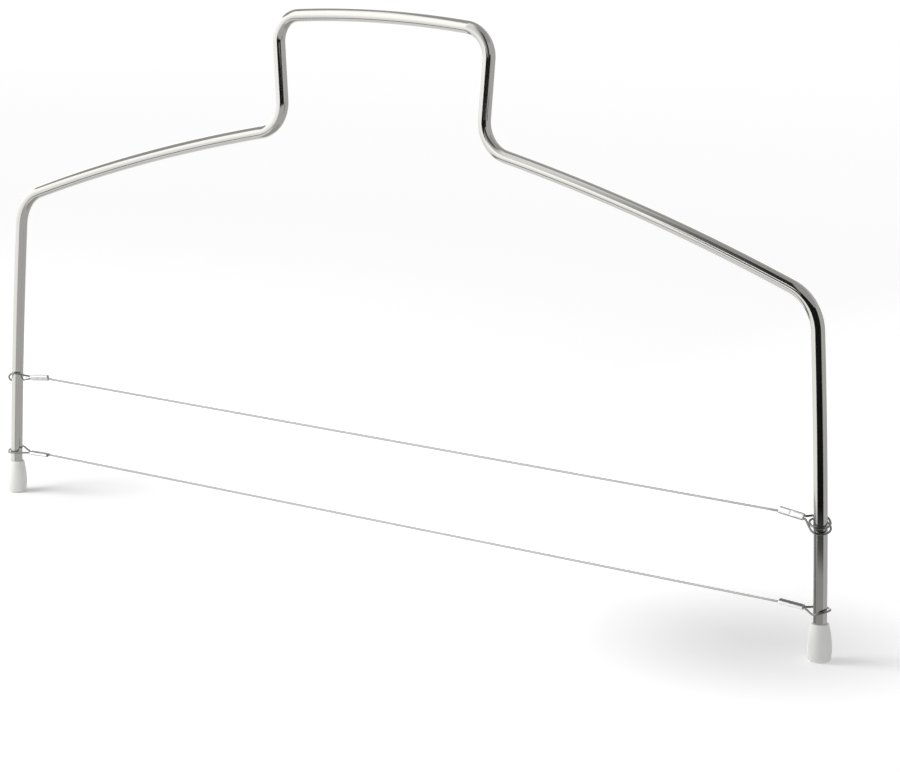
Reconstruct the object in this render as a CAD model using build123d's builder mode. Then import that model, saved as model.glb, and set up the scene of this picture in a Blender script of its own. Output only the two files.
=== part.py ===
# Cake leveler: a bow of bent steel rod on two plastic foot caps, with two taut cutting wires
# that slide up and down its legs.
# Millimetres. Z is up, X runs along the wires, the origin is on the table midway between the feet.
from build123d import *
from math import asin, atan2, ceil, cos, degrees, hypot, pi, radians, sin, sqrt, tan
import os

# Rod frame, measured to the rod's axis: spans from left to right, the shoulders' height from the
# table, the neck's rise above them and the handle's above the neck
rod_diameter = 4.3
foot_span = 330.0
shoulder_span = 317.8
shoulder_height = 109.8
neck_span = 79.4
neck_rise = 34.7
handle_span = 84.6
handle_rise = 37.0
leg_bow = 0.75
shoulder_bow = 2.6
handle_bow = 2.2
shoulder_bend_radius = 14.5
neck_bend_radius = 11.0
handle_bend_radius = 9.0

# Foot caps, pushed onto the rod's ends
cap_height = 11.8
cap_sole_thickness = 2.2
cap_base_diameter = 6.7
cap_belly_diameter = 7.5
cap_belly_height = 3.9
cap_lip_width = 0.5
cap_sole_round = 1.3
cap_lip_round = 0.2
cap_bore_clearance = 0.03

# Cutting wires: each is one length of wire with an eye round a leg at both ends. Each eye has its
# wire's height, how far its root is from the leg's axis, how far its loop hangs below its root,
# how far the wire climbs from its cutting strand to its tail, and its room outside the leg.
wire_diameter = 0.7
eye_side_clearance = 0.5
upper_left_height = 44.7
upper_left_reach = 6.2
upper_left_drop = 0.6
upper_left_climb = 0.0
upper_left_apex = 0.6
upper_right_height = 44.3
upper_right_reach = 4.8
upper_right_drop = 1.25
upper_right_climb = 2.8
upper_right_slack = 0.3
upper_right_apex = 0.35
lower_left_height = 16.1
lower_left_reach = 6.5
lower_left_drop = -0.25
lower_left_climb = 0.0
lower_left_apex = 0.6
lower_right_height = 16.1
lower_right_reach = 4.7
lower_right_drop = 0.1
lower_right_climb = 3.4
lower_right_apex = 0.5
root_bend_radius = 1.0
wire_mouth_radius = 3.0
tail_inset = 0.5
gap_step = 0.25
gap_reach = 3.0

# Crimped sleeves, one at the root of each eye
sleeve_length = 8.3
sleeve_wall = 0.25
sleeve_web = 0.2
sleeve_bore_clearance = 0.03
sleeve_mouth_gap = 0.25
sleeve_edge_round = 0.1
sleeve_dent_depth = 0.06
sleeve_dent_radius = 3.2

# Each eye's sizes, then its turns of wire round the leg and four angles in degrees: how far its
# sleeve and its loop dip towards the leg, and how far they are rolled, cutting strand down
eye_shapes = {
    "upper_left": {
        "side": -1, "height": upper_left_height, "reach": upper_left_reach,
        "drop": upper_left_drop, "climb": upper_left_climb, "slack": 0, "apex": upper_left_apex,
        "turns": 1, "sleeve_dip": 7, "loop_dip": 30, "sleeve_roll": 75, "loop_roll": 30,
    },
    "upper_right": {
        "side": 1, "height": upper_right_height, "reach": upper_right_reach,
        "drop": upper_right_drop, "climb": upper_right_climb, "slack": upper_right_slack,
        "apex": upper_right_apex,
        "turns": 2, "sleeve_dip": 7, "loop_dip": 15, "sleeve_roll": 65, "loop_roll": 14,
    },
    "lower_left": {
        "side": -1, "height": lower_left_height, "reach": lower_left_reach,
        "drop": lower_left_drop, "climb": lower_left_climb, "slack": 0, "apex": lower_left_apex,
        "turns": 1, "sleeve_dip": 1.5, "loop_dip": 9, "sleeve_roll": -10, "loop_roll": -13,
    },
    "lower_right": {
        "side": 1, "height": lower_right_height, "reach": lower_right_reach,
        "drop": lower_right_drop, "climb": lower_right_climb, "slack": 0, "apex": lower_right_apex,
        "turns": 1, "sleeve_dip": 3.5, "loop_dip": -11, "sleeve_roll": 18, "loop_roll": -14,
    },
}
eye_corner_turn = 42
eye_bend_share = 0.9

strand_offset = wire_diameter / 2 + sleeve_bore_clearance + sleeve_web / 2
sleeve_reach = sleeve_length + 2 * sleeve_mouth_gap + root_bend_radius / 2
neck_height = shoulder_height + neck_rise
handle_height = neck_height + handle_rise
shoulder_point = (shoulder_span / 2, shoulder_height)
neck_point = (neck_span / 2, neck_height)
handle_point = (handle_span / 2, handle_height)

os.makedirs("parts", exist_ok=True)


def bowed_middle(start, end, bow):
    """The middle of an arc from start to end that bulges to the right of that way by bow."""
    run = (end[0] - start[0], end[1] - start[1])
    chord = hypot(*run)
    return (
        (start[0] + end[0]) / 2 + bow * run[1] / chord,
        (start[1] + end[1]) / 2 - bow * run[0] / chord,
    )


def leg_axis_x(height):
    """How far the axis of a leg is from the middle plane at this height."""
    foot_point = (foot_span / 2, 0)
    run = (shoulder_point[0] - foot_point[0], shoulder_point[1] - foot_point[1])
    chord = hypot(*run)
    radius = (chord**2 / 4 + leg_bow**2) / (2 * leg_bow)
    crown = bowed_middle(foot_point, shoulder_point, leg_bow)
    centre = (crown[0] - radius * run[1] / chord, crown[1] + radius * run[0] / chord)
    return centre[0] + sqrt(radius**2 - (height - centre[1]) ** 2)


# Frame: one polished rod bent in one plane, each stretch between two bends slightly bowed
# outwards. Its ends are cut square and stand on the soles inside the caps.
rod_end = (leg_axis_x(cap_sole_thickness), cap_sole_thickness)
leg_crown = bowed_middle((foot_span / 2, 0), shoulder_point, leg_bow)
shoulder_crown = bowed_middle(shoulder_point, neck_point, shoulder_bow)
handle_crown = (0, handle_height + handle_bow)
bends = {
    shoulder_height: shoulder_bend_radius,
    neck_height: neck_bend_radius,
    handle_height: handle_bend_radius,
}
with BuildPart() as frame_rod:
    with BuildLine(Plane.XZ) as rod_axis:
        ThreePointArc(rod_end, leg_crown, shoulder_point)
        ThreePointArc(shoulder_point, shoulder_crown, neck_point)
        Line(neck_point, handle_point)
        mirror(about=Plane.YZ)
        ThreePointArc(handle_point, handle_crown, (-handle_point[0], handle_point[1]))
        for bend_height, bend_radius in bends.items():
            corners = [v for v in rod_axis.vertices() if abs(v.Z - bend_height) < rod_diameter / 2]
            fillet(corners, bend_radius)
    rod_path = rod_axis.wire()
    with BuildSketch(Plane(origin=rod_path @ 0, z_dir=rod_path % 0)):
        Circle(rod_diameter / 2)
    sweep(path=rod_path)
frame_rod.part.label = "frame_rod"
export_step(frame_rod.part, "parts/frame_rod.step")


# Foot caps: moulded plastic bells, coaxial with the leaning legs and flat where they stand
cap_top_radius = rod_diameter / 2 + cap_bore_clearance + cap_lip_width
cap_lean = (leg_axis_x(0) - leg_axis_x(cap_height)) / cap_height
belly = (cap_belly_diameter / 2, cap_belly_height)
base = (cap_base_diameter / 2, -cap_base_diameter / 2 * cap_lean)
lip = (cap_top_radius, cap_height)
for side, cap_name in ((-1, "left_foot_cap"), (1, "right_foot_cap")):
    foot = Vector(side * leg_axis_x(0), 0, 0)
    up_leg = Vector(-side * cap_lean, 0, 1)
    with BuildPart() as foot_cap:
        with BuildSketch(Plane(origin=foot, x_dir=(1, 0, side * cap_lean), z_dir=(0, -1, 0))) as profile:
            with BuildLine():
                Polyline(lip, (0, cap_height), (0, base[1]), base)
                TangentArc(belly, base, tangent=(0, -1))
                TangentArc(belly, lip, tangent=(0, 1))
            make_face()
            fillet(profile.vertices().group_by(Axis.Y)[0].sort_by(Axis.X)[-1], cap_sole_round)
            fillet(profile.vertices().group_by(Axis.Y)[-1].sort_by(Axis.X)[-1], cap_lip_round)
        revolve(axis=Axis(foot, up_leg))
        split(bisect_by=Plane.XY, keep=Keep.TOP)
        seat = Plane(origin=(side * rod_end[0], 0, rod_end[1]), z_dir=up_leg)
        with BuildSketch(seat.offset(-cap_bore_clearance)):
            Circle(rod_diameter / 2 + cap_bore_clearance)
        extrude(amount=cap_height, mode=Mode.SUBTRACT)
    foot_cap.part.label = cap_name
    export_step(foot_cap.part, f"parts/{cap_name}.step")


def rolled_plane(origin, side, dip, roll):
    """A plane whose first axis runs out to a leg and down by dip, rolled about it by roll."""
    out = Vector(side * cos(dip), 0, -sin(dip))
    up = Vector(side * sin(dip), 0, cos(dip))
    return Plane(origin, x_dir=out, z_dir=up * cos(roll) - up.cross(out) * sin(roll))


def sleeve_plane(name):
    """The plane of an eye's two strands, with its origin where the cutting strand comes in.

    Its first axis runs out along the sleeve to the leg, and the cutting strand is on the minus
    side of its second axis.
    """
    shape = eye_shapes[name]
    dip, roll = radians(shape["sleeve_dip"]), radians(shape["sleeve_roll"])
    height = shape["height"] + strand_offset * sin(roll)
    root_height = height - sleeve_reach * sin(dip)
    out = leg_axis_x(root_height) - shape["reach"] - sleeve_reach * cos(dip)
    return rolled_plane((shape["side"] * out, 0, height), shape["side"], dip, roll)


def round_bend(before, corner, after):
    """The largest radius at this corner that leaves both runs a short straight stretch."""
    turn = (corner - before).get_angle(after - corner)
    shorter_run = min((corner - before).length, (after - corner).length)
    return eye_bend_share * shorter_run / 2 / tan(radians(turn / 2))


def eye_route(name):
    """Corners and bend radii of one eye, from its cutting wire round the leg to the cut tail."""
    shape = eye_shapes[name]
    strands = sleeve_plane(name)
    root = strands.from_local_coords((sleeve_reach, 0, 0))
    loop_height = root.Z - shape["drop"]
    radius = (rod_diameter + wire_diameter) / 2 + eye_side_clearance
    centre = leg_axis_x(loop_height) + shape["apex"] - eye_side_clearance
    distance = centre - abs(root.X)
    offset = strand_offset * cos(radians(shape["sleeve_roll"]))
    flare = degrees(asin(radius / hypot(distance, offset)) - atan2(offset, distance))
    whole_turn = 180 + 2 * flare + 360 * (shape["turns"] - 1)
    corner_count = round(whole_turn / eye_corner_turn)
    corner_turn = whole_turn / corner_count
    route = [strands.from_local_coords((place, -strand_offset, 0)) for place in (0, sleeve_reach)]
    for corner in range(corner_count):
        progress = (corner + 0.5) / corner_count
        heading = radians((corner + 0.5) * corner_turn - flare)
        reach = (radius + shape["slack"] * (1 - progress)) / cos(radians(corner_turn / 2))
        out, across = reach * sin(heading), -reach * cos(heading)
        height = loop_height + shape["climb"] * (progress - 0.5)
        height += across * tan(radians(shape["loop_roll"])) - out * tan(radians(shape["loop_dip"]))
        route.append(Vector(shape["side"] * (centre + out), shape["side"] * across, height))
    for place in (sleeve_reach, sleeve_mouth_gap + tail_inset):
        route.append(strands.from_local_coords((place, strand_offset, 0)))
    loop_radii = [round_bend(*route[first : first + 3]) for first in range(1, corner_count + 1)]
    return route, [wire_mouth_radius, root_bend_radius, *loop_radii, root_bend_radius]


def least_gap(path):
    """The least gap between stretches of one cutting wire, measured on points of its eyes."""
    eye_edges = [edge for edge in path.edges() if edge.length < 2 * sleeve_length]
    points = [
        edge @ (distance / edge.length)
        for edge in eye_edges
        for distance in [step * gap_step for step in range(ceil(edge.length / gap_step))]
    ]
    places = [path.param_at_point(point) * path.length for point in points]
    gaps = [
        (point - other).length - wire_diameter
        for first, point in enumerate(points)
        for second, other in enumerate(points[:first])
        if abs(places[first] - places[second]) > gap_reach
    ]
    return min(gaps)


# Cutting wires: thin hard steel wire, one length each, bent into an eye round the leg at both
# ends. The upper right eye goes twice round its leg.
for level in ("upper", "lower"):
    left_corners, left_radii = eye_route(level + "_left")
    right_corners, right_radii = eye_route(level + "_right")
    with BuildPart() as cutting_wire:
        with BuildLine() as wire_line:
            FilletPolyline(
                *left_corners[::-1], *right_corners, radius=[*left_radii[::-1], *right_radii]
            )
        wire_path = wire_line.wire()
        with BuildSketch(Plane(origin=wire_path @ 0, z_dir=wire_path % 0)):
            Circle(wire_diameter / 2)
        sweep(path=wire_path)
    cutting_wire.part.label = level + "_wire"
    export_step(cutting_wire.part, f"parts/{level}_wire.step")
    swept = wire_path.length * pi * wire_diameter**2 / 4
    print(level, "wire length", wire_path.length, "volume", cutting_wire.part.volume, "of", swept)
    print(level, "wire least gap to itself", least_gap(wire_path))


# Sleeves: short oval tubes with two bores, slid over both strands of an eye and crimped with a
# dent on each flat side.
sleeve_thickness = wire_diameter + 2 * (sleeve_bore_clearance + sleeve_wall)
sleeve_width = sleeve_thickness + 2 * strand_offset
dent_axis_offset = sleeve_thickness / 2 - sleeve_dent_depth + sleeve_dent_radius
for name in eye_shapes:
    plane = sleeve_plane(name)
    mouth_centre = plane.from_local_coords((sleeve_mouth_gap, 0, 0))
    with BuildPart() as sleeve:
        mouth = Plane(mouth_centre, x_dir=plane.y_dir, z_dir=plane.x_dir)
        with BuildSketch(mouth):
            SlotOverall(sleeve_width, sleeve_thickness)
        extrude(amount=sleeve_length)
        ends = sleeve.faces().sort_by(Axis(mouth.origin, mouth.z_dir))
        fillet(ends[0].edges() + ends[-1].edges(), sleeve_edge_round)
        with BuildSketch(mouth):
            with Locations((-strand_offset, 0), (strand_offset, 0)):
                Circle(wire_diameter / 2 + sleeve_bore_clearance)
        extrude(amount=sleeve_length, mode=Mode.SUBTRACT)
        middle = mouth.offset(sleeve_length / 2).origin
        with BuildSketch(Plane(middle, x_dir=plane.x_dir, z_dir=plane.y_dir)):
            with Locations((0, -dent_axis_offset), (0, dent_axis_offset)):
                Circle(sleeve_dent_radius)
        extrude(amount=sleeve_width, both=True, mode=Mode.SUBTRACT)
    sleeve.part.label = name + "_sleeve"
    export_step(sleeve.part, f"parts/{name}_sleeve.step")
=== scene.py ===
# Cake leveler: a bow of bent steel rod on two plastic caps, with two cutting wires on its legs.
import bpy
from math import atan2, ceil, cos, hypot, pi, radians, sin, sqrt
from mathutils import Matrix, Vector


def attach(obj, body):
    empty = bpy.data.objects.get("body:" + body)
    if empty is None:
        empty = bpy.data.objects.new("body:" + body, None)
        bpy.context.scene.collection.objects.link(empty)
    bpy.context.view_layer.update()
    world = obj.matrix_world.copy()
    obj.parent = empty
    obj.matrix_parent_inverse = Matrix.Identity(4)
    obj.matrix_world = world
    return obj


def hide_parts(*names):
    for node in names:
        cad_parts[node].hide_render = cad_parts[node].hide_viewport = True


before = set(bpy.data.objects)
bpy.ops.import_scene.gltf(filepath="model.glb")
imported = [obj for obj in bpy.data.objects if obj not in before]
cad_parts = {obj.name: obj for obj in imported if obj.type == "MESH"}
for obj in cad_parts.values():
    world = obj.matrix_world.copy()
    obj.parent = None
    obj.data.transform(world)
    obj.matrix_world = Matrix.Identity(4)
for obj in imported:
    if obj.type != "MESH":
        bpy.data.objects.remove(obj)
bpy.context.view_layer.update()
MM = 0.001


# The camera stands to the right of the front and a little above the grip, with a long lens, and
# its picture leans by less than a degree.
camera_azimuth, camera_elevation, camera_roll = radians(34.338), radians(12.46), radians(0.823)
camera_target = Vector((28.93, 0, 66.09)) * MM
camera_distance = 855.08 * MM
back = Vector((
    sin(camera_azimuth) * cos(camera_elevation),
    -cos(camera_azimuth) * cos(camera_elevation),
    sin(camera_elevation),
))
level = Vector((cos(camera_azimuth), sin(camera_azimuth), 0))
upright = back.cross(level)
right = level * cos(camera_roll) + upright * sin(camera_roll)
above = upright * cos(camera_roll) - level * sin(camera_roll)
camera = bpy.data.objects.new("camera", bpy.data.cameras.new("camera"))
camera.data.lens = 105.38
camera.data.sensor_width = 36
half_pixel = 0.5 / 900
camera.data.shift_x, camera.data.shift_y = -half_pixel, half_pixel
camera_turn = Matrix((right, above, back)).transposed().to_4x4()
camera.matrix_world = Matrix.Translation(camera_target + back * camera_distance) @ camera_turn
bpy.context.scene.collection.objects.link(camera)
bpy.context.scene.camera = camera


# The frame is one length of bright stainless steel rod, bent cold over round formers in one plane
# and then polished all over. Each stretch between two bends keeps a slight outward bow, save the
# neck, whose bow of next to nothing lets the same rule draw it straight. Sizes in millimetres.
rod_diameter = 4.3
leg_foot, shoulder, neck, grip = (-165, 0), (-158.9, 109.8), (-39.7, 144.5), (-42.3, 181.5)
rod_end_height = 2.2
stretch_bows = [0.75, 2.6, 0.0004, 2.2]
bend_radii = [14.5, 11, 9]
bend_turns = [1, -1, 1]
stretch_step, bend_step = 3, 0.5
rod_sides = 64


def bow_circle(start, end, bow):
    """Centre and radius of the arc from start to end that bulges to the left by bow."""
    run = (end[0] - start[0], end[1] - start[1])
    chord = hypot(*run)
    radius = (chord ** 2 / 4 + bow ** 2) / (2 * bow)
    to_right = (run[1] / chord, -run[0] / chord)
    reach = radius - bow
    return ((start[0] + end[0]) / 2 + to_right[0] * reach,
            (start[1] + end[1]) / 2 + to_right[1] * reach), radius


def bend_centre(one, other, bend, turn, corner):
    """Centre of the bend that runs smoothly from one arc into the other at this corner."""
    (x1, z1), reach1 = one[0], one[1] - turn * bend
    (x2, z2), reach2 = other[0], other[1] - turn * bend
    gap = hypot(x2 - x1, z2 - z1)
    along = (reach1 ** 2 - reach2 ** 2 + gap ** 2) / (2 * gap)
    aside = sqrt(max(reach1 ** 2 - along ** 2, 0))
    foot = (x1 + (x2 - x1) * along / gap, z1 + (z2 - z1) * along / gap)
    tips = [(foot[0] + side * aside * (z2 - z1) / gap, foot[1] - side * aside * (x2 - x1) / gap)
            for side in (-1, 1)]
    return min(tips, key=lambda tip: hypot(tip[0] - corner[0], tip[1] - corner[1]))


def arc_points(centre, radius, start, end, step):
    """Points from start to end on the shorter arc about centre."""
    first = atan2(start[1] - centre[1], start[0] - centre[0])
    sweep = (atan2(end[1] - centre[1], end[0] - centre[0]) - first + pi) % (2 * pi) - pi
    count = max(2, ceil(abs(sweep) * radius / step))
    return [(centre[0] + radius * cos(first + sweep * place / count),
             centre[1] + radius * sin(first + sweep * place / count)) for place in range(count)]


corners = [leg_foot, shoulder, neck, grip, (-grip[0], grip[1])]
circles = [bow_circle(a, b, bow) for a, b, bow in zip(corners, corners[1:], stretch_bows)]
(leg_centre_x, leg_centre_z), leg_radius = circles[0]
leg_rise = rod_end_height - leg_centre_z
half_line = []
start = (leg_centre_x - sqrt(leg_radius ** 2 - leg_rise ** 2), rod_end_height)
for place, (bend, turn) in enumerate(zip(bend_radii, bend_turns)):
    one, other = circles[place], circles[place + 1]
    centre = bend_centre(one, other, bend, turn, corners[place + 1])
    touches = []
    for (x, z), radius in (one, other):
        reach = hypot(centre[0] - x, centre[1] - z)
        share = radius / reach
        touches.append((x + (centre[0] - x) * share, z + (centre[1] - z) * share))
    half_line += arc_points(*one, start, touches[0], stretch_step)
    half_line += arc_points(centre, bend, *touches, bend_step)
    start = touches[1]
top_bar = arc_points(*circles[3], start, (-start[0], start[1]), stretch_step)
rod_line = half_line + top_bar + [(-x, z) for x, z in [start, *half_line[::-1]]]


def swept_tube(name, line, radius, sides):
    """A round tube of this radius along a line of points in millimetres, with flat ends."""
    points = [Vector(point) for point in line]
    ways = [(points[min(place + 1, len(points) - 1)] - points[max(place - 1, 0)]).normalized()
            for place in range(len(points))]
    aside = ways[0].orthogonal().normalized()
    vertices, faces = [], []
    for point, way in zip(points, ways):
        aside = (aside - way * aside.dot(way)).normalized()
        other = way.cross(aside)
        for side in range(sides):
            turn = 2 * pi * side / sides
            vertices.append((point + (aside * cos(turn) + other * sin(turn)) * radius) * MM)
    for ring in range(len(points) - 1):
        for side in range(sides):
            after = (side + 1) % sides
            faces.append((ring * sides + side, ring * sides + after,
                          (ring + 1) * sides + after, (ring + 1) * sides + side))
    faces.append(tuple(range(sides))[::-1])
    faces.append(tuple(range((len(points) - 1) * sides, len(points) * sides)))
    mesh = bpy.data.meshes.new(name)
    mesh.from_pydata(vertices, [], faces)
    for face in mesh.polygons:
        face.use_smooth = len(face.vertices) == 4
    tube = bpy.data.objects.new(name, mesh)
    bpy.context.scene.collection.objects.link(tube)
    return tube


def linear(hex_colour):
    """An sRGB hex colour as the linear colour that a shader reads, with full opacity."""
    values = [int(hex_colour[place:place + 2], 16) / 255 for place in (1, 3, 5)]
    return (*[v / 12.92 if v <= 0.04045 else ((v + 0.055) / 1.055) ** 2.4 for v in values], 1)


def add_node(tree, kind, settings=None, **inputs):
    """Adds a node. Each input is a value or another node's output; _0 and _1 go by number."""
    node = tree.nodes.new(kind)
    for name, value in (settings or {}).items():
        setattr(node, name, value)
    for name, value in inputs.items():
        socket = node.inputs[int(name[1:]) if name[0] == "_" else name.replace("_", " ")]
        if isinstance(value, bpy.types.NodeSocket):
            tree.links.new(value, socket)
        else:
            socket.default_value = value
    return node


def new_material(name):
    """A new material with its tree, which is empty but for the output node."""
    material = bpy.data.materials.new(name)
    material.use_nodes = True
    tree = material.node_tree
    tree.nodes.clear()
    return material, tree, tree.nodes.new("ShaderNodeOutputMaterial")


# Polished stainless steel: a mirror with a faint warm grey of its own. Polishing leaves a fine
# grain, drawn 0.4 mm wide, coarser than the real one, and handling leaves dull patches.
polish_grain = 0.4 * MM
handling_patch = 16.667 * MM
polished_steel, tree, output = new_material("polished_stainless_steel")
place = add_node(tree, "ShaderNodeTexCoord")
grain = add_node(tree, "ShaderNodeTexNoise", Vector=place.outputs["Object"],
                 Scale=1 / polish_grain, Detail=2.0)
patches = add_node(tree, "ShaderNodeTexNoise", Vector=place.outputs["Object"],
                   Scale=1 / handling_patch, Detail=3.0)
dullness = add_node(tree, "ShaderNodeMapRange", Value=patches.outputs["Fac"],
                    From_Min=0.35, From_Max=0.7, To_Min=0.07, To_Max=0.13)
relief = add_node(tree, "ShaderNodeBump", Height=grain.outputs["Fac"],
                  Strength=0.04, Distance=0.02 * MM)
metal = add_node(tree, "ShaderNodeBsdfPrincipled", Base_Color=linear("#CBCAC6"), Metallic=1.0,
                 Roughness=dullness.outputs["Result"], Normal=relief.outputs["Normal"])
tree.links.new(metal.outputs["BSDF"], output.inputs["Surface"])

rod = swept_tube("bent_rod", [(x, 0, z) for x, z in rod_line], rod_diameter / 2, rod_sides)
rod.data.materials.append(polished_steel)
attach(rod, "frame")
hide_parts("frame_rod")


# The caps are moulded in soft white plastic and pushed onto the rod's ends. They have no paint:
# the colour goes right through, and light sinks about 1 mm into them. The mould's skin gives a
# soft sheen, with a fine grain and scuffs from the table.
mould_grain = 0.5556 * MM
scuff_size = 3.333 * MM
light_depth = 1 * MM
white_plastic, tree, output = new_material("moulded_white_plastic")
place = add_node(tree, "ShaderNodeTexCoord")
grain = add_node(tree, "ShaderNodeTexNoise", Vector=place.outputs["Object"],
                 Scale=1 / mould_grain, Detail=3.0)
scuffs = add_node(tree, "ShaderNodeTexNoise", Vector=place.outputs["Object"],
                  Scale=1 / scuff_size, Detail=4.0)
sheen = add_node(tree, "ShaderNodeMapRange", Value=scuffs.outputs["Fac"],
                 From_Min=0.3, From_Max=0.7, To_Min=0.3, To_Max=0.45)
relief = add_node(tree, "ShaderNodeBump", Height=grain.outputs["Fac"],
                  Strength=0.1, Distance=0.03 * MM)
plastic = add_node(tree, "ShaderNodeBsdfPrincipled", Base_Color=linear("#DEDEDC"), IOR=1.5,
                   Roughness=sheen.outputs["Result"], Normal=relief.outputs["Normal"],
                   Subsurface_Weight=0.15, Subsurface_Radius=(light_depth,) * 3,
                   Subsurface_Scale=1.0)
tree.links.new(plastic.outputs["BSDF"], output.inputs["Surface"])


def finish_node(name, material):
    """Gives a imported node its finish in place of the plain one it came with."""
    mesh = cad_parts[name].data
    mesh.materials.clear()
    mesh.materials.append(material)


for name in ("left_foot_cap", "right_foot_cap"):
    finish_node(name, white_plastic)


# The cutting wires are hard-drawn stainless steel, one length each from eye to eye. The die
# leaves them bright, with slightly duller spots drawn about 1 mm long. Their colour turns darker
# over the sleeves and eyes, which is painted shade there.
dull_spot = 1.111 * MM
wire_shade_start, wire_shade_full = 145 * MM, 156 * MM
drawn_wire, tree, output = new_material("hard_drawn_steel_wire")
place = add_node(tree, "ShaderNodeTexCoord")
spots = add_node(tree, "ShaderNodeTexNoise", Vector=place.outputs["Object"],
                 Scale=1 / dull_spot, Detail=2.0)
dullness = add_node(tree, "ShaderNodeMapRange", Value=spots.outputs["Fac"],
                    From_Min=0.3, From_Max=0.7, To_Min=0.16, To_Max=0.26)
split = add_node(tree, "ShaderNodeSeparateXYZ", Vector=place.outputs["Object"])
side = add_node(tree, "ShaderNodeMath", {"operation": "ABSOLUTE"}, _0=split.outputs["X"])
# Painted shade: the wire's colour turns darker over the sleeves and eyes.
painted_wire_shade = add_node(tree, "ShaderNodeMapRange", Value=side.outputs["Value"],
                  From_Min=wire_shade_start, From_Max=wire_shade_full)
colour = add_node(tree, "ShaderNodeMix", {"data_type": "RGBA"}, Factor=painted_wire_shade.outputs["Result"],
                  A=linear("#B6B6B4"), B=linear("#949493"))
metal = add_node(tree, "ShaderNodeBsdfPrincipled", Base_Color=colour.outputs["Result"],
                 Metallic=1.0, Roughness=dullness.outputs["Result"])
tree.links.new(metal.outputs["BSDF"], output.inputs["Surface"])
for name in ("upper_wire", "lower_wire"):
    finish_node(name, drawn_wire)


# The sleeves are short drawn tubes of soft aluminium with a smooth bright skin. The jaws of the
# crimping pliers have pressed them from above and below. On the faces that look nearly straight
# up or down the colour turns dull grey, which is a painted dark reflection.
dent_size = 1.4286 * MM
crimped_aluminium, tree, output = new_material("crimped_aluminium")
place = add_node(tree, "ShaderNodeTexCoord")
marks = add_node(tree, "ShaderNodeTexNoise", Vector=place.outputs["Object"],
                 Scale=1 / dent_size, Detail=3.0)
dullness = add_node(tree, "ShaderNodeMapRange", Value=marks.outputs["Fac"],
                    From_Min=0.3, From_Max=0.7, To_Min=0.26, To_Max=0.36)
relief = add_node(tree, "ShaderNodeBump", Height=marks.outputs["Fac"],
                  Strength=0.15, Distance=0.03 * MM)
split = add_node(tree, "ShaderNodeSeparateXYZ", Vector=place.outputs["Normal"])
steepness = add_node(tree, "ShaderNodeMath", {"operation": "ABSOLUTE"}, _0=split.outputs["Z"])
# Painted dark reflection: faces that look nearly straight up or down turn dull grey.
painted_dark_reflection = add_node(tree, "ShaderNodeMapRange", Value=steepness.outputs["Value"],
                   From_Min=0.86, From_Max=0.93)
colour = add_node(tree, "ShaderNodeMix", {"data_type": "RGBA"}, Factor=painted_dark_reflection.outputs["Result"],
                  A=linear("#F4F4F2"), B=linear("#88888A"))
metal = add_node(tree, "ShaderNodeBsdfPrincipled", Base_Color=colour.outputs["Result"],
                 Metallic=1.0, Roughness=dullness.outputs["Result"],
                 Normal=relief.outputs["Normal"])
tree.links.new(metal.outputs["BSDF"], output.inputs["Surface"])
for name in ("upper_left_sleeve", "upper_right_sleeve", "lower_left_sleeve", "lower_right_sleeve"):
    finish_node(name, crimped_aluminium)


# The floor is a wide sheet of white paper that also glows, which is painted light. The glow is
# weaker round the feet, a painted shade that keeps their shadows dark, and stronger on the right.
# The polished rod doesn't mirror the floor: it mirrors glowing cards around the object instead,
# which give it the light and dark stripes of a photo studio.
floor_reach = 9
painted_glow_reach = 3.0
# Painted glow by distance from the feet, weakest close to them, which is painted shade there.
painted_glow_start, painted_glow_stops, painted_glow_end = 0.09, [
    (0.006, 0.12), (0.02, 0.3), (0.05, 0.39), (0.15, 0.46), (0.3, 0.54)], 0.68
painted_shade_centre = (0.15, 0.004, 0)
painted_shade_shift = 0.01
floor_mesh = bpy.data.meshes.new("floor")
floor_mesh.from_pydata([(-floor_reach, -floor_reach, 0), (floor_reach, -floor_reach, 0),
                        (floor_reach, floor_reach, 0), (-floor_reach, floor_reach, 0)],
                       [], [(0, 1, 2, 3)])
white_paper, tree, output = new_material("white_paper")
sheet = add_node(tree, "ShaderNodeBsdfDiffuse", Color=linear("#F4F4F4"))
place = add_node(tree, "ShaderNodeTexCoord")
split = add_node(tree, "ShaderNodeSeparateXYZ", Vector=place.outputs["Object"])
shifted = add_node(tree, "ShaderNodeMath", {"operation": "ADD"},
                   _0=split.outputs["X"], _1=painted_shade_shift)
side = add_node(tree, "ShaderNodeMath", {"operation": "ABSOLUTE"}, _0=shifted.outputs["Value"])
folded = add_node(tree, "ShaderNodeCombineXYZ", X=side.outputs["Value"], Y=split.outputs["Y"])
# Painted light and shade: the glow grows with distance from the feet.
away = add_node(tree, "ShaderNodeVectorMath", {"operation": "DISTANCE"},
                _0=folded.outputs["Vector"], _1=painted_shade_centre)
share = add_node(tree, "ShaderNodeMapRange", Value=away.outputs["Value"], From_Max=painted_glow_reach)
painted_glow_ramp = add_node(tree, "ShaderNodeValToRGB", Fac=share.outputs["Result"])
steps = painted_glow_ramp.color_ramp.elements
for where, glow in painted_glow_stops:
    steps.new(where).color = (glow, glow, glow, 1)
steps[0].color, steps[-1].color = (*[painted_glow_start] * 3, 1), (*[painted_glow_end] * 3, 1)
rightward = add_node(tree, "ShaderNodeMapRange", Value=split.outputs["X"],
                     From_Min=-0.1, From_Max=0.165, To_Min=1.0, To_Max=1.35)
glow = add_node(tree, "ShaderNodeEmission", Color=painted_glow_ramp.outputs["Color"],
                Strength=rightward.outputs["Result"])
both = add_node(tree, "ShaderNodeAddShader", _0=sheet.outputs["BSDF"], _1=glow.outputs["Emission"])
tree.links.new(both.outputs["Shader"], output.inputs["Surface"])
floor_mesh.materials.append(white_paper)
floor = bpy.data.objects.new("floor", floor_mesh)
bpy.context.scene.collection.objects.link(floor)
floor.visible_glossy = False


card_strength = 2.0


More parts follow.
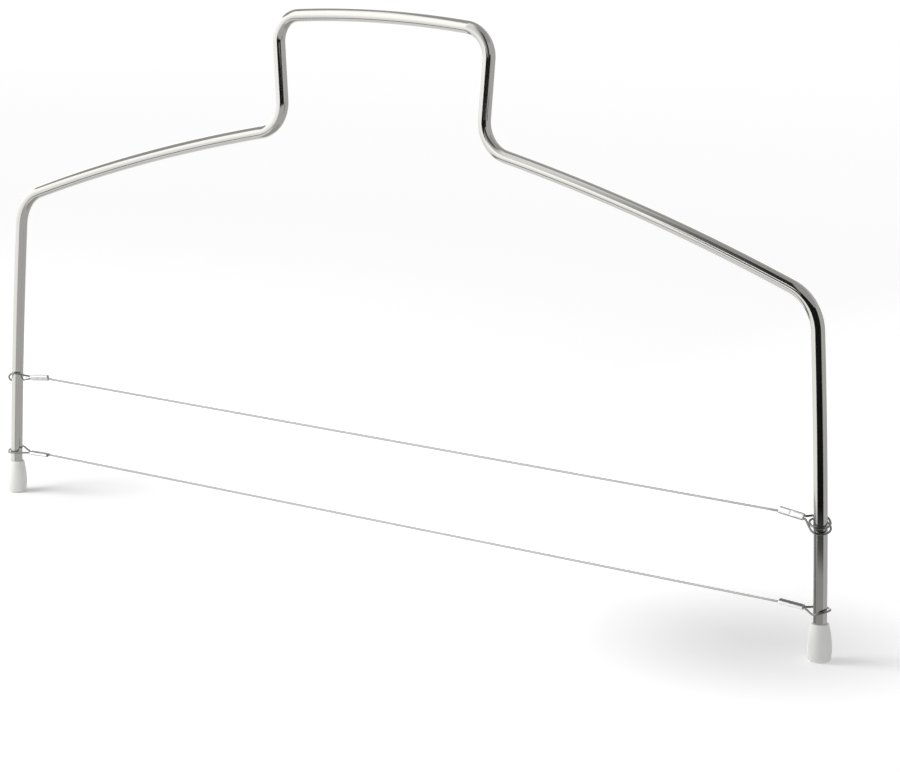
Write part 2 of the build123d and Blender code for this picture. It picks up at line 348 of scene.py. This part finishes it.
def glowing_card(name, vertices, faces, axis, stops):
    """A card that only mirrors see; stops give its glow at places in mm along one axis.

    A colour ramp holds no more than 1, so it takes the glow over the card's strength.
    """
    mesh = bpy.data.meshes.new(name)
    mesh.from_pydata([Vector(vertex) * MM for vertex in vertices], [], faces)
    material, tree, output = new_material(name)
    place = add_node(tree, "ShaderNodeTexCoord")
    split = add_node(tree, "ShaderNodeSeparateXYZ", Vector=place.outputs["Object"])
    low, high = stops[0][0], stops[-1][0]
    share = add_node(tree, "ShaderNodeMapRange", Value=split.outputs[axis],
                     From_Min=low * MM, From_Max=high * MM)
    ramp = add_node(tree, "ShaderNodeValToRGB", Fac=share.outputs["Result"])
    points = ramp.color_ramp.elements
    while len(points) < len(stops):
        points.new(0.5)
    for point, (where, glow) in zip(points, stops):
        point.position = (where - low) / (high - low)
        point.color = (*[glow / card_strength] * 3, 1)
    light = add_node(tree, "ShaderNodeEmission", Color=ramp.outputs["Color"],
                     Strength=card_strength)
    tree.links.new(light.outputs["Emission"], output.inputs["Surface"])
    mesh.materials.append(material)
    card = bpy.data.objects.new(name, mesh)
    bpy.context.scene.collection.objects.link(card)
    card.visible_camera = card.visible_diffuse = card.visible_shadow = False


def upright_card(name, centre, distance, azimuths, stops):
    """An upright curved card round a point, between two azimuths in degrees from the front."""
    strips = 24
    vertices = []
    for step in range(strips + 1):
        turn = radians(azimuths[0] + (azimuths[1] - azimuths[0]) * step / strips)
        x, y = centre[0] + distance * sin(turn), centre[1] - distance * cos(turn)
        vertices += [(x, y, stops[0][0]), (x, y, stops[-1][0])]
    faces = [(2 * step, 2 * step + 1, 2 * step + 3, 2 * step + 2) for step in range(strips)]
    glowing_card(name, vertices, faces, "Z", stops)


upright_card("grey_surround", (0, 0), 3500, (-170, 360), [(-6000, 0.58), (2500, 0.58)])
upright_card("white_left_panel", (0, 0), 1500, (-170, -7), [
    (-3000, 0.84), (-1900, 0.93), (-1000, 1.07), (-450, 1.15), (-100, 1.33), (300, 1.6),
    (1400, 1.7), (2400, 1.3)])
glowing_card("grey_ceiling", [
    (-2500, -1550, 700), (-1000, -520, 700), (-560, -150, 700), (-400, 10, 700), (0, 100, 700),
    (900, 100, 700), (900, 1500, 700), (-2500, 1500, 700)], [tuple(range(8))], "Y", [
        (-1550, 0.42), (260, 0.42), (420, 0.62), (1500, 0.62)])
upright_card("black_card_in_front_of_neck", (0, 0), 400, (-10, 66), [(75, 0.01), (195, 0.01)])
upright_card("black_card_by_right_leg", (163, 0), 30, (-23, 74), [
    (-40, 0.45), (20, 0.36), (28, 0.12), (42, 0.01), (130, 0.01)])
upright_card("grey_card_by_right_foot", (163, 0), 500, (-110, -25), [(-170, 0.37), (-95, 0.37)])
upright_card("dark_card_by_right_foot", (163, 0), 498, (-76, -48), [(-170, 0.18), (-98, 0.18)])
glowing_card("white_card_above_right_shoulder", [
    (-140, -121, 400), (40, -121, 400), (40, -121, 620), (-140, -121, 620), (40, -15, 620),
    (-140, -15, 620)], [(0, 1, 2, 3), (3, 2, 4, 5)], "X", [
        (-140, 1.1), (-40, 1.1), (0, 0.85), (40, 0.65)])
upright_card("grey_card_by_left_leg", (-165, 0), 1400, (8, 62), [
    (-220, 0.6), (-145, 0.44), (-76, 0.38)])
glowing_card("black_card_by_right_shoulder", [
    (-40, -120, 182), (5, -120, 182), (40, -120, 172), (80, -120, 163), (160, -120, 150),
    (160, -120, 420), (-40, -120, 420)], [tuple(range(7))], "X", [
        (-40, 1.1), (0, 1.05), (40, 0.62), (80, 0.2), (120, 0.03), (160, 0.03)])
glowing_card("dark_strip_under_upper_right_sleeve", [
    (144, -5, 39), (156, -5, 39), (156, 9, 39), (144, 9, 39)], [(0, 1, 2, 3)], "X", [
        (144, 0.12), (156, 0.12)])


# A white sky, brighter to the camera than to the object, and one large soft lamp near the object
# at the front left. It shades the caps on their right and throws soft shadows beside the feet.
sky_to_object, sky_to_camera = 0.45, 0.985
lamp_place = Vector((-393, -311, 347)) * MM
lamp_width = 430 * MM
lamp_power = 2.7
world = bpy.data.worlds.new("white_studio")
world.use_nodes = True
sky = world.node_tree
path = add_node(sky, "ShaderNodeLightPath")
seen = add_node(sky, "ShaderNodeMapRange", Value=path.outputs["Is Camera Ray"],
                To_Min=sky_to_object, To_Max=sky_to_camera)
sky.nodes["Background"].inputs["Color"].default_value = (1, 1, 1, 1)
sky.links.new(seen.outputs["Result"], sky.nodes["Background"].inputs["Strength"])
bpy.context.scene.world = world
lamp_data = bpy.data.lights.new("soft_lamp", "AREA")
lamp_data.shape = "DISK"
lamp_data.size = lamp_width
lamp_data.energy = lamp_power
lamp = bpy.data.objects.new("soft_lamp", lamp_data)
lamp_turn = lamp_place.to_track_quat("Z", "Y").to_matrix().to_4x4()
lamp.matrix_world = Matrix.Translation(lamp_place) @ lamp_turn
lamp.visible_glossy = False
bpy.context.scene.collection.objects.link(lamp)
bpy.context.scene.view_settings.view_transform = "Standard"
